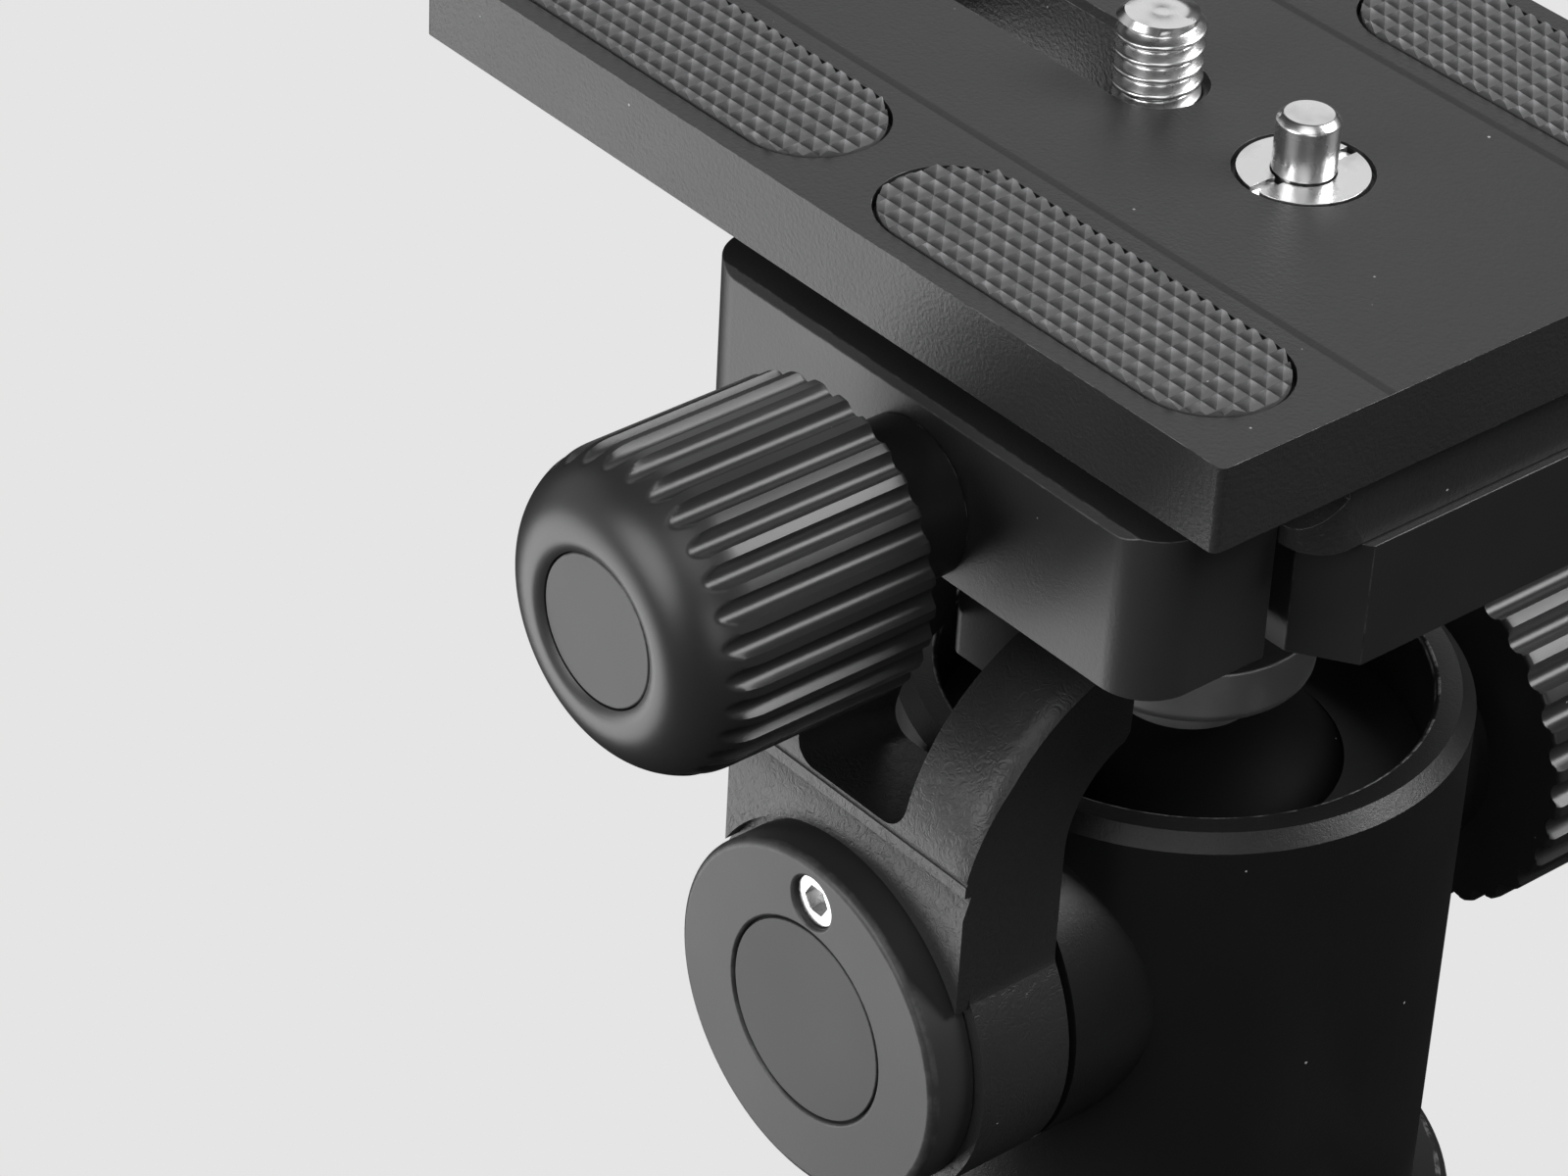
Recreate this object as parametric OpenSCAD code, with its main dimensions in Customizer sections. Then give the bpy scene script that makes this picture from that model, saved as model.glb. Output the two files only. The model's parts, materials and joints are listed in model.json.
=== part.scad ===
// Tripod ball head: a guided ball in a panning housing, with a screw clamp and a quick-release camera plate.
// Millimetres, Z up. The origin is the middle of the base's lower face, at the mouth of the tripod socket.
// The plate's long way is X, and the clamp's knob looks along -Y. The ball, the well and the base share one axis,
// and the clamp's middle stands a little behind it.

/* [Base] */
// How far the base stands out under the housing
base_lip = 3; // [2:0.25:6]
// Height of the pan base
base_h = 12; // [11.5:0.5:16]
// Bevel round the base's upper and lower edge
base_bevel = 0.8; // [0.3:0.1:1.2]
// Radius of the spindle that the housing turns on, as a share of the ball's
hub_share = 0.6; // [0.55:0.01:0.63]
// Height of that spindle above the base
hub_h = 9; // [8.5:0.25:10]
// Radius of the tripod socket's thread
socket_r = 4.7625; // [3.175:0.0125:4.7625]
// Depth of the tripod socket
socket_depth = 10; // [8:0.5:10.5]
// Wall of the socket's steel insert
socket_wall = 3; // [2:0.25:3.5]
// Inner radius of the friction ring under the base
foot_ring_in = 13; // [12:0.5:15]
// Outer radius of the friction ring
foot_ring_out = 21; // [18:0.5:21.5]
// Thickness of the friction ring
foot_ring_t = 1.2; // [0.6:0.1:1.5]
// Thickness of the slip washer under the housing
pan_washer_t = 0.6; // [0.4:0.1:1]
// How far the plate that keeps the housing on its spindle stands out over it
keeper_lip = 2.4; // [1.6:0.1:2.6]
// Thickness of that plate
keeper_t = 1.8; // [1.2:0.1:2]

/* [Housing] */
// Wall of the housing round its well
housing_wall = 3.1; // [2.6:0.1:4]
// Height of the tilt axis above the base's lower face
tilt_z = 42; // [42:0.5:48]
// Height of the rim above the tilt axis
rim_rise = 15.85; // [15:0.05:16]
// Bevel outside the rim
rim_bevel = 1.1; // [0.5:0.1:1.6]
// Gap between the ball and the well's wall
well_gap = 2.9; // [2.9:0.1:3.4]
// Bevel inside the rim
well_bevel = 0.3; // [0.2:0.1:0.6]
// Radius of the boss that carries the tilt frame
boss_r = 14.65; // [14:0.05:15]
// How far that boss stands out of the housing
boss_proud = 1.5; // [1.2:0.1:2.5]
// Radius of the boss round the ball lock's screw
lock_boss_r = 9; // [8:0.25:11]
// How far the lock's boss stands out of the housing
lock_boss_proud = 3.5; // [2.5:0.25:5]

/* [Ball and stem] */
// Radius of the ball
ball_r = 15; // [14.6:0.1:15.1]
// Height of the seat ring's upper face above the tilt axis, as a share of the ball's radius
seat_share = 0.6; // [0.58:0.01:0.62]
// Height of the seat ring
seat_h = 2.8; // [2:0.1:2.8]
// Radius of the stem's neck
stem_r = 5.3; // [4.8:0.1:5.4]
// Radius of the stem's collar
collar_r = 9.2; // [8:0.1:9.3]
// Height of the collar's lower side above the tilt axis
collar_rise = 17; // [16.6:0.1:17.4]
// Rounding under the collar
collar_round = 1; // [0.6:0.1:3.6]
// Radius of the bolt through the stem
stem_bolt_r = 3; // [2.5:0.25:3]

/* [Tilt frame] */
// Width of the frame
frame_w = 24.8; // [23:0.2:26]
// Thickness of the frame round its pivot
frame_t = 9.1; // [8.5:0.1:10]
// Radius of the frame's round foot
foot_r = 14.65; // [14.4:0.05:15]
// Rounding between the foot and the frame's sides
foot_fillet = 2.5; // [1:0.1:4]
// Gap between the housing's boss and the frame, for the washer
pivot_gap = 0.7; // [0.5:0.1:1.2]
// Width of the window between the frame's two arms
window_w = 11.3; // [9:0.1:13]
// Height of the window's sill above the tilt axis, at its front edge
window_sill = 18.6; // [18.3:0.1:19.5]
// How far the sill falls to the back
sill_fall = 1.5; // [0:0.1:2]
// Rounding of the window's lower corners
window_round = 2; // [0.5:0.1:2.5]
// Height where the arms begin to bend in
bend_rise = 17; // [16.5:0.1:17.6]
// Height of the bent arms' outer crest above the tilt axis
crest_rise = 33; // [31:0.1:34.5]
// Height of the bent arms' inner arch above the tilt axis
arch_rise = 25; // [23.5:0.1:26.5]
// Radius of the recess round the pivot cap
recess_r = 14.35; // [14.1:0.05:15]
// Depth of that recess
recess_d = 1.2; // [0.8:0.1:1.6]
// Radius of the pivot cap
cap_r = 13.7; // [12.8:0.1:13.9]
// Thickness of the pivot cap
cap_t = 3.9; // [3.7:0.1:4.4]
// Radius of the disc set into the cap
badge_r = 7.7; // [6.8:0.1:7.8]
// Distance of the cap's screw from the tilt axis
cap_screw_rise = 10.4; // [10.3:0.1:10.9]
// Radius of the cap's screw
cap_screw_r = 2; // [1.5:0.1:2]
// Radius of the tilt pivot
pivot_r = 5; // [4:0.25:5]

/* [Clamp] */
// How far the clamp's middle stands behind the ball's axis
head_set_back = 2.1; // [1.6:0.1:2.6]
// Height of the clamp's underside above the tilt axis
clamp_rise = 36.4; // [36:0.1:38]
// Length of the clamp body
clamp_l = 54; // [52:1:62]
// Reach of the clamp body to the front, under the movable jaw's gap
clamp_front = 17; // [16.8:0.1:18.4]
// Reach of the clamp body to the back
clamp_back = 29.5; // [28:0.5:32]
// Thickness of the clamp's floor
floor_t = 9.5; // [9.4:0.1:11]
// Rounding of the clamp body's back corners
clamp_corner = 2; // [1:0.25:2.5]
// Length of the slanted cut at the clamp body's front corners
slant_l = 4.2; // [3.5:0.1:6]
// Depth of that cut
slant_w = 2.9; // [2.7:0.1:5]
// Length of the movable jaw
jaw_l = 46; // [42:0.5:50]
// Reach of the jaw's front face
jaw_out = 30.2; // [29:0.1:31]
// Rounding of the jaw's front corners
jaw_corner = 4; // [2:0.5:6]
// Height of the jaw's underside above that of the clamp
jaw_lift = 0.5; // [0.2:0.1:1]
// Height of the clamp knob's axis above the clamp's underside
knob_rise = 5.3; // [5.2:0.1:5.6]
// Distance of each guide pin from the middle
guide_x = 15; // [13:0.5:18]
// Radius of the guide pins
guide_r = 2; // [1.5:0.25:2]
// Width of the neck under the clamp
neck_w = 12.2; // [11:0.1:12.4]
// Gap between the neck and the frame's inner face
neck_gap = 5.3; // [4.8:0.1:6]
// Height of the neck's underside above the tilt axis
neck_rise = 21.5; // [21.3:0.1:23]
// Rounding of the neck's corners
neck_round = 1.2; // [0.6:0.1:2]
// Thickness of the neck's cross block behind the frame's arms
cross_t = 6; // [4.5:0.1:7]
// Height of the cross block's underside above the tilt axis
cross_rise = 28; // [27:0.1:29]

/* [Plate] */
// Length of the camera plate
plate_l = 82; // [76:1:100]
// Width of the camera plate
plate_w = 60; // [58:1:64]
// Thickness of the plate's wings
wing_t = 6.4; // [5:0.1:7]
// Rounding of the plate's corners
plate_corner = 0.6; // [0.5:0.1:2.5]
// Place of the plate's middle in the clamp
plate_x = -13.25; // [-14:0.25:-4]
// Width of the dovetail's foot
foot_w = 38; // [38:0.1:38.2]
// Height of the foot's upright edge
foot_edge = 1.5; // [1.3:0.1:1.6]
// Height of the dovetail's sloping flank
flank_h = 2.6; // [2.4:0.1:2.8]
// Height of the whole dovetail below the wings
foot_h = 6; // [5.8:0.1:6.4]
// Set-back of the dovetail's ends from the plate's ends
foot_inset = 1.4; // [0.8:0.1:3]
// Rounding of the dovetail's corners
foot_corner = 3; // [1:0.5:4]
// Length of each rubber pad
pad_l = 35; // [28:0.5:36]
// Width of each rubber pad
pad_w = 10.6; // [8:0.2:11]
// Distance of the pads' middles from the plate's middle, along the plate
pad_x = 19.75; // [19:0.25:20]
// Distance of the pads' middles from the plate's middle, across the plate
pad_y = 22.6; // [21.5:0.1:23]
// Depth of the pads' recesses
pad_sunk = 1.2; // [0.8:0.1:2]
// Height of the pads above the plate
pad_proud = 0.4; // [0.2:0.1:0.8]
// Place of the camera screw from the plate's middle
screw_x = 2.75; // [0:0.25:3]
// Radius of the camera screw
screw_r = 3.175; // [3:0.025:3.175]
// Height of the camera screw above the plate
screw_proud = 5.6; // [4.5:0.1:6.5]
// Travel of the camera screw along its slot
screw_travel = 24; // [18:1:26]
// Place of the video pin from the plate's middle
pin_x = 17.35; // [16.5:0.05:18]
// Radius of the video pin
pin_r = 2.25; // [2:0.05:2.25]
// Height of the video pin above the plate
pin_proud = 4.4; // [3.5:0.1:4.4]
// Radius of the flange round the video pin
bush_r = 4.6; // [4.4:0.1:5]

/* [Knobs] */
// Radius of the clamp knob
knob_r = 11.4; // [10.5:0.1:12]
// Length of the clamp knob
knob_l = 19.6; // [17:0.1:22]
// Rounding at the front of the clamp knob
knob_round = 4.2; // [3:0.1:5]
// Length of the collar between the jaw and the clamp knob
knob_neck_l = 7.5; // [6.5:0.1:9]
// Radius of that collar
knob_neck_r = 5.8; // [5.4:0.1:6.6]
// Flutes round the clamp knob
knob_flutes = 30; // [20:1:32]
// Radius of a flute's section
flute_r = 0.85; // [0.6:0.05:0.9]
// Radius of the disc in the clamp knob's end
disc_r = 5.35; // [4.5:0.05:5.8]
// Radius of the clamp's screw
clamp_screw_r = 3; // [2.5:0.25:3.5]
// Radius of the ball lock's knob
lock_knob_r = 15; // [13:0.5:17]
// Length of the ball lock's knob
lock_knob_l = 17; // [14:0.5:20]
// Flutes round the ball lock's knob
lock_flutes = 30; // [20:1:36]
// Radius of the ball lock's screw
lock_screw_r = 4; // [3:0.25:4]
// Radius of the pan lock's knob
pan_knob_r = 8; // [7:0.25:9]
// Length of the pan lock's knob
pan_knob_l = 12; // [10:0.5:14]
// Flutes round the pan lock's knob
pan_flutes = 20; // [12:1:22]
// Radius of the pan lock's screw
pan_screw_r = 2.5; // [2:0.25:2.5]

/* [Hidden] */

// Fits: a turned or sliding fit, a fixed fit, a slip gap between flat faces and the overrun of a cut
run = 0.05;
snug = 0.03;
slip = 0.05;
over = 1;
flute_out_share = 0.1;
coil_sides = 6;
coil_steps = 14;
$fn = 72;

// Sizes that follow the ball's
well_r = ball_r + well_gap;
housing_r = well_r + housing_wall;
base_r = housing_r + base_lip;
hub_r = ball_r * hub_share;
keeper_r = hub_r + keeper_lip;
seat_top = ball_r * seat_share;
boss_reach = housing_r + boss_proud;
lock_boss_reach = housing_r + lock_boss_proud;
frame_in = boss_reach + pivot_gap;
frame_out = frame_in + frame_t;
neck_front = frame_in - neck_gap;
neck_l = 2 * (neck_front + head_set_back);

// Levels of the base and the housing
insert_r = socket_r + socket_wall;
housing_z = base_h + pan_washer_t + slip;
hub_z = base_h + hub_h;
keeper_gap = 0.8;
chamber_r = keeper_r + keeper_gap;
ball_play = 0.05;
bore_gap = 0.6;
bore_r = ball_r + bore_gap;
bore_z = tilt_z - ball_r;
rim_z = tilt_z + rim_rise;
seat_z = tilt_z + seat_top;
keeper_hole_r = 2.5;
keeper_head_r = 4.2;
keeper_head_h = 2.6;

// Levels of the ball, its cup and its spring
cup_top_share = 0.4;
cup_t = 1.6;
spring_h = 1.2;
ball_flat_share = 0.88;
stem_socket_share = 0.45;

// Pressure block of the ball lock
block_clear = 0.7;
block_r = seat_top - seat_h - block_clear;
block_gap = 0.35;
block_inset = 1;
block_end = housing_r - block_inset;
lock_knob_gap = 1.2;

// Pan lock
pan_rise = 4.6;
pan_z = housing_z + pan_rise;
shoe_gap = 0.35;
shoe_l = 4;
pan_boss_r = 4.2;
pan_boss_proud = 3;
pan_boss_reach = housing_r + pan_boss_proud;
pan_knob_gap = 2.5;

// Pivot of the tilt frame
stud_r = 7;
stud_floor = 0.8;
stud_l = boss_reach - well_r - stud_floor;
pivot_washer_r = 11.6;
bush_wall = 1.5;
bush_edge = 0.3;
keeper_cap_r = 7.4;
pivot_keeper_t = 1;
pivot_head_r = 4.2;
pivot_head_h = 1.3;
pivot_bolt_r = 2.5;
pivot_bolt_l = 9;
cap_hollow_r = 7.8;
cap_hollow_d = 2.5;
badge_t = 0.5;
badge_sunk = 0.1;
cap_bevel = 0.4;
floor_y = frame_out - recess_d;
cap_y = floor_y + cap_t;
cap_screw_l = 6.6;
cap_screw_sunk = 0.5;
hex_share = 0.58;
ridge_low = 15.3;
ridge_high = 17.1;
ridge_cut = 0.6;
ridge_edge = 0.15;
foot_bite = 0.05;
line_rise = 18.35;
line_r = 0.2;
frame_screw_x = (window_w + frame_w) / 4;
frame_screw_z = tilt_z + (cross_rise + crest_rise) / 2;
frame_screw_r = 1.5;
frame_screw_l = 10;
frame_head_r = 2.3;
frame_head_h = 1.8;

// Clamp, jaw and neck
clamp_z = tilt_z + clamp_rise;
clamp_floor = clamp_z + floor_t;
plate_lift = 0.1;
plate_z = clamp_floor + plate_lift;
foot_half = foot_w / 2;
grip_gap = 0.1;
jaw_gap = 0.2;
jaw_back = foot_half + jaw_gap;
jaw_rise = 3.5;
jaw_top = clamp_floor + jaw_rise;
knob_z = clamp_z + knob_rise;
clamp_bore_l = 15;
flange_w = 30;
flange_inset = 4;
flange_l = neck_l - 2 * flange_inset;
flange_t = 3;
flange_hole_x = 10;
flange_hole_inset = 12;
flange_hole_y = neck_l / 2 - flange_hole_inset;
neck_screw_r = 2;
neck_screw_l = 7;
neck_head_r = 3.4;
neck_head_h = 2.4;
neck_z = tilt_z + neck_rise;
bolt_head_r = 4.6;
bolt_head_h = 4.5;
guide_in = 11;
guide_out = 7;
spring_r = 3.1;
spring_wire = 0.35;
spring_pocket = 6;
spring_turns = 5;
edge_break = 0.5;

// Plate and its fittings
relief = 0.1;
screw_neck_r = 2.6;
pin_relief = 0.35;
pin_guide_r = pin_r - pin_relief;
wing_z = plate_z + foot_h;
plate_top = wing_z + wing_t;
pad_gap = 0.35;
slot_gap = 0.125;
slot_r = screw_r + slot_gap;
slot_break = 0.5;
slider_r = 6;
slider_t = 0.6;
head_t = 2.2;
channel_gap = 0.15;
channel_r = slider_r + channel_gap;
channel_h = 3.4;
bush_flange_t = 0.7;
bush_body_r = 3.5;
bush_body_l = 4.4;
bush_slot_w = 0.9;
bush_slot_d = 0.45;
pin_head_r = 3.2;
pin_head_t = 1;
pin_well_floor = 0.8;
pin_bevel = 0.5;
bush_end = plate_top - bush_body_l;
pin_turns = 4;
pin_wire = 0.17;
pin_spring_r = 2.6;

// Clamp knob
journal_r = 3.6;
clip_t = 0.8;
clip_r = 4.4;
knob_back = jaw_out + slip + knob_neck_l;
knob_front = knob_back + knob_l;
disc_t = 1.2;
disc_sunk = 0.35;
disc_rim = 0.7;
screw_in_knob = 10;
lock_back = lock_boss_reach + lock_knob_gap;
pan_back = pan_boss_reach + pan_knob_gap;
small_disc_share = 0.45;

// The clamp and all that it carries, moved to their place behind the ball's axis
module set_back() {
    translate([0, head_set_back, 0]) children();
}
// A rod along Y from y0 to y1
module rod_y(r, y0, y1, z = 0) {
    translate([0, y0, z]) rotate([-90, 0, 0]) cylinder(r = r, h = y1 - y0);
}
// A rod along X from x0 to x1
module rod_x(r, x0, x1, z = 0) {
    translate([x0, 0, z]) rotate([0, 90, 0]) cylinder(r = r, h = x1 - x0);
}
// A disc of radius r and height h with a bevel at both rims, or at one
module bevelled(r, h, low, high) {
    rotate_extrude() polygon([[0, 0], [r - low, 0], [r, low], [r, h - high], [r - high, h], [0, h]]);
}
// A rectangle with round corners, about the middle
module round_rect(w, l, r) {
    square([w - 2 * r, l], center = true);
    square([w, l - 2 * r], center = true);
    for (i = [-1, 1], j = [-1, 1]) translate([i * (w / 2 - r), j * (l / 2 - r)]) circle(r = r);
}
// A long hole or pad with round ends along X
module stadium(l, w) {
    square([l - w, w], center = true);
    for (i = [-1, 1]) translate([i * (l - w) / 2, 0]) circle(r = w / 2);
}
// A profile drawn in Y and Z, as long as l along X
module along_x(l) {
    rotate([90, 0, 90]) linear_extrude(l, center = true) children();
}
// A wire coil round Z from 0 to h
module coil(r, wire, h, turns) {
    rings = turns * coil_steps;
    lift = (h - 2 * wire) / rings;
    points = [for (i = [0:rings], s = [0:coil_sides - 1])
        let (a = 360 * i / coil_steps, b = 360 * s / coil_sides, q = r - wire + wire * cos(b))
        [q * cos(a), q * sin(a), wire + i * lift + wire * sin(b)]];
    sides = [for (i = [0:rings - 1], s = [0:coil_sides - 1])
        let (a = i * coil_sides + s, b = i * coil_sides + (s + 1) % coil_sides)
        each [[a, b, b + coil_sides], [a, b + coil_sides, a + coil_sides]]];
    last = rings * coil_sides;
    ends = [[for (s = [0:coil_sides - 1]) coil_sides - 1 - s], [for (s = [0:coil_sides - 1]) last + s]];
    polyhedron(points, concat(sides, ends));
}
// A socket-head screw along Z: the head stands on z = 0 and the shank hangs below it
module socket_screw(r, l, head_r, head_h) {
    difference() {
        union() {
            cylinder(r = head_r, h = head_h);
            translate([0, 0, -l]) cylinder(r = r, h = l);
        }
        translate([0, 0, head_h / 2]) cylinder(r = head_r * hex_share, h = head_h, $fn = 6);
    }
}
// A fluted knob along Z: its back is at z = 0 and its domed front carries a recess
module fluted(r, l, round, flutes, cut_r, recess_r, recess_depth, bore_r, bore_depth) {
    bow = [for (a = [0:15:90]) [r - round + round * cos(a), l - round + round * sin(a)]];
    difference() {
        rotate_extrude() polygon(concat([[0, 0], [r - edge_break, 0], [r, edge_break]], bow, [[0, l]]));
        for (i = [0:flutes - 1]) rotate(360 * i / flutes)
            translate([r + cut_r * flute_out_share, 0, -over]) cylinder(r = cut_r, h = l + over, $fn = 24);
        translate([0, 0, l - recess_depth]) cylinder(r = recess_r, h = recess_depth + over);
        translate([0, 0, -over]) cylinder(r = bore_r, h = bore_depth + over);
    }
}

// Base

module pan_base() {
    color("#1b1b1c") difference() {
        union() {
            bevelled(base_r, base_h, base_bevel, base_bevel);
            cylinder(r = hub_r, h = hub_z);
        }
        translate([0, 0, -over]) cylinder(r = insert_r, h = socket_depth + over);
        cylinder(r = keeper_hole_r + snug, h = hub_z + over);
        translate([0, 0, -over]) difference() {
            cylinder(r = foot_ring_out + snug, h = foot_ring_t + over);
            cylinder(r = foot_ring_in - snug, h = foot_ring_t + over);
        }
    }
}
module base_socket() {
    color("#b9bbbe") difference() {
        cylinder(r = insert_r - snug, h = socket_depth);
        translate([0, 0, -over]) cylinder(r = socket_r, h = socket_depth + 2 * over);
    }
}
module foot_ring() {
    color("#2a2a2a") difference() {
        cylinder(r = foot_ring_out, h = foot_ring_t);
        translate([0, 0, -over]) cylinder(r = foot_ring_in, h = foot_ring_t + 2 * over);
    }
}
module pan_washer() {
    color("#e8e8e4") translate([0, 0, base_h]) difference() {
        cylinder(r = housing_r - base_bevel, h = pan_washer_t);
        translate([0, 0, -over]) cylinder(r = hub_r + run, h = pan_washer_t + 2 * over);
    }
}
module keeper_plate() {
    color("#a9abad") translate([0, 0, hub_z]) difference() {
        cylinder(r = keeper_r, h = keeper_t);
        translate([0, 0, -over]) cylinder(r = keeper_hole_r + snug, h = keeper_t + 2 * over);
    }
}
module keeper_screw() {
    shank = hub_z + keeper_t - socket_depth - edge_break;
    color("#8d8f91") translate([0, 0, hub_z + keeper_t])
        socket_screw(keeper_hole_r, shank, keeper_head_r, keeper_head_h);
}

// Housing

module housing() {
    color("#171718") difference() {
        union() {
            translate([0, 0, housing_z]) bevelled(housing_r, rim_z - housing_z, edge_break, rim_bevel);
            rod_y(boss_r, -boss_reach, 0, tilt_z);
            rod_y(lock_boss_r, 0, lock_boss_reach, tilt_z);
            rod_x(pan_boss_r, 0, pan_boss_reach, pan_z);
        }
        rotate_extrude() polygon([
            [0, housing_z - over], [hub_r + run, housing_z - over], [hub_r + run, hub_z - slip],
            [chamber_r, hub_z - slip], [chamber_r, bore_z], [bore_r, bore_z],
            [bore_r, seat_z - seat_h], [well_r, seat_z - seat_h], [well_r, rim_z - well_bevel],
            [well_r + well_bevel, rim_z], [well_r + well_bevel, rim_z + over], [0, rim_z + over]]);
        rod_y(stud_r, -boss_reach - over, -boss_reach + stud_l, tilt_z);
        rod_y(block_r + run, 0, block_end + slip, tilt_z);
        rod_y(lock_screw_r + run, 0, lock_boss_reach + over, tilt_z);
        rod_x(pan_screw_r + run, 0, pan_boss_reach + over, pan_z);
    }
}
module seat_ring() {
    steps = 6;
    play = ball_r + ball_play;
    color("#202022") rotate_extrude() polygon(concat(
        [[well_r - snug, seat_z], [well_r - snug, seat_z - seat_h]],
        [for (i = [0:steps]) let (rise = seat_top - seat_h + seat_h * i / steps)
            [sqrt(play * play - rise * rise), tilt_z + rise]]));
}
module ball_cup() {
    steps = 8;
    play = ball_r + ball_play;
    top = ball_r * cup_top_share;
    low = ball_r - cup_t;
    color("#dcdcd6") rotate_extrude() polygon(concat(
        [[bore_r - snug, tilt_z - top], [bore_r - snug, bore_z + spring_h]],
        [[sqrt(play * play - low * low), bore_z + spring_h]],
        [for (i = [0:steps]) let (rise = low - (low - top) * i / steps)
            [sqrt(play * play - rise * rise), tilt_z - rise]]));
}
module cup_spring() {
    color("#9a9c9e") translate([0, 0, bore_z]) difference() {
        cylinder(r = bore_r - snug, h = spring_h);
        translate([0, 0, -over]) cylinder(r = chamber_r, h = spring_h + 2 * over);
    }
}
module pivot_stud() {
    end = floor_y + slip;
    color("#b4b6b8") difference() {
        union() {
            rod_y(stud_r - snug, -boss_reach, -boss_reach + stud_l, tilt_z);
            rod_y(pivot_r, -end, -boss_reach, tilt_z);
        }
        rod_y(pivot_bolt_r + snug, -end - over, -end + pivot_bolt_l, tilt_z);
    }
}
module pivot_washer() {
    color("#d9d9d2") difference() {
        rod_y(pivot_washer_r, -frame_in + slip, -boss_reach, tilt_z);
        rod_y(pivot_r + run, -frame_in, -boss_reach + over, tilt_z);
    }
}
module pressure_block() {
    color("#c9a25a") difference() {
        rod_y(block_r, 0, block_end, tilt_z);
        translate([0, 0, tilt_z]) sphere(r = ball_r + block_gap);
    }
}
module lock_screw() {
    color("#8f9193") rod_y(lock_screw_r, block_end + slip, lock_back + screw_in_knob, tilt_z);
}
module lock_knob() {
    color("#1c1c1d") translate([0, lock_back, tilt_z]) rotate([-90, 0, 0])
        fluted(lock_knob_r, lock_knob_l, knob_round, lock_flutes, flute_r,
            lock_knob_r * small_disc_share + disc_rim, disc_t + disc_sunk, lock_screw_r + snug, screw_in_knob);
}
module lock_knob_cap() {
    front = lock_back + lock_knob_l - disc_sunk;
    color("#3a3a3c") rod_y(lock_knob_r * small_disc_share, front - disc_t, front, tilt_z);
}
module pan_shoe() {
    color("#c9a25a") rod_x(pan_screw_r, hub_r + shoe_gap, hub_r + shoe_gap + shoe_l, pan_z);
}
module pan_screw() {
    color("#8f9193") rod_x(pan_screw_r, hub_r + shoe_gap + shoe_l + slip, pan_back + pan_knob_l / 2, pan_z);
}
module pan_knob() {
    color("#1c1c1d") translate([pan_back, 0, pan_z]) rotate([0, 90, 0])
        fluted(pan_knob_r, pan_knob_l, knob_round / 2, pan_flutes, flute_r,
            pan_knob_r * small_disc_share + disc_rim, disc_t + disc_sunk, pan_screw_r + snug, pan_knob_l / 2);
}
module pan_knob_cap() {
    front = pan_back + pan_knob_l - disc_sunk;
    color("#3a3a3c") rod_x(pan_knob_r * small_disc_share, front - disc_t, front, pan_z);
}

// Ball, stem and neck

module ball() {
    color("#232325") translate([0, 0, tilt_z]) difference() {
        sphere(r = ball_r, $fn = 96);
        translate([-ball_r, -ball_r, -2 * ball_r]) cube([2 * ball_r, 2 * ball_r, 2 * ball_r - ball_r * ball_flat_share]);
        translate([0, 0, ball_r * stem_socket_share]) cylinder(r = stem_r + snug, h = ball_r);
        translate([0, 0, -ball_r / 2]) cylinder(r = stem_bolt_r + snug, h = ball_r * 2);
    }
}
module ball_stem() {
    low = tilt_z + ball_r * stem_socket_share;
    collar_z = tilt_z + collar_rise;
    bow = [for (a = [-90:15:0]) [collar_r - collar_round + collar_round * cos(a),
        collar_z + collar_round + collar_round * sin(a)]];
    color("#a8aaac") difference() {
        rotate_extrude() polygon(concat([[0, low], [stem_r, low], [stem_r, collar_z]],
            bow, [[collar_r, neck_z], [0, neck_z]]));
        translate([0, 0, low - over]) cylinder(r = stem_bolt_r + snug, h = neck_z - low + 2 * over);
    }
}
module stem_bolt() {
    seat = clamp_z - bolt_head_h - edge_break;
    color("#77797b") translate([0, 0, seat])
        socket_screw(stem_bolt_r, seat - tilt_z + ball_r / 2 - edge_break, bolt_head_r, bolt_head_h);
}
module neck_places() {
    for (i = [-1, 1], j = [-1, 1]) translate([i * flange_hole_x, j * flange_hole_y, 0]) children();
}
module frame_screw_places() {
    for (i = [-1, 1]) translate([i * frame_screw_x, -neck_front + cross_t, frame_screw_z]) children();
}
module head_neck() {
    flange_z = clamp_z - flange_t;
    cross_z = tilt_z + cross_rise;
    color("#161617") difference() {
        union() {
            set_back() {
                translate([0, 0, neck_z]) linear_extrude(clamp_z - neck_z) round_rect(neck_w, neck_l, neck_round);
                translate([0, 0, flange_z]) linear_extrude(flange_t) round_rect(flange_w, flange_l, neck_round);
            }
            translate([-frame_w / 2, -neck_front, cross_z]) cube([frame_w, cross_t, clamp_z - cross_z]);
        }
        translate([0, 0, neck_z - over]) cylinder(r = stem_bolt_r + snug, h = clamp_z - neck_z + 2 * over);
        translate([0, 0, clamp_z - bolt_head_h - edge_break]) cylinder(r = bolt_head_r + snug, h = bolt_head_h + over);
        set_back() neck_places() translate([0, 0, flange_z - over])
            cylinder(r = neck_screw_r + snug, h = flange_t + 2 * over);
        frame_screw_places() rod_y(frame_screw_r + snug, -cross_t - over, over);
    }
}
module neck_screws() {
    color("#77797b") set_back() neck_places() translate([0, 0, clamp_z - flange_t]) mirror([0, 0, 1])
        socket_screw(neck_screw_r, neck_screw_l, neck_head_r, neck_head_h);
}

// Tilt frame and its pivot

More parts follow.
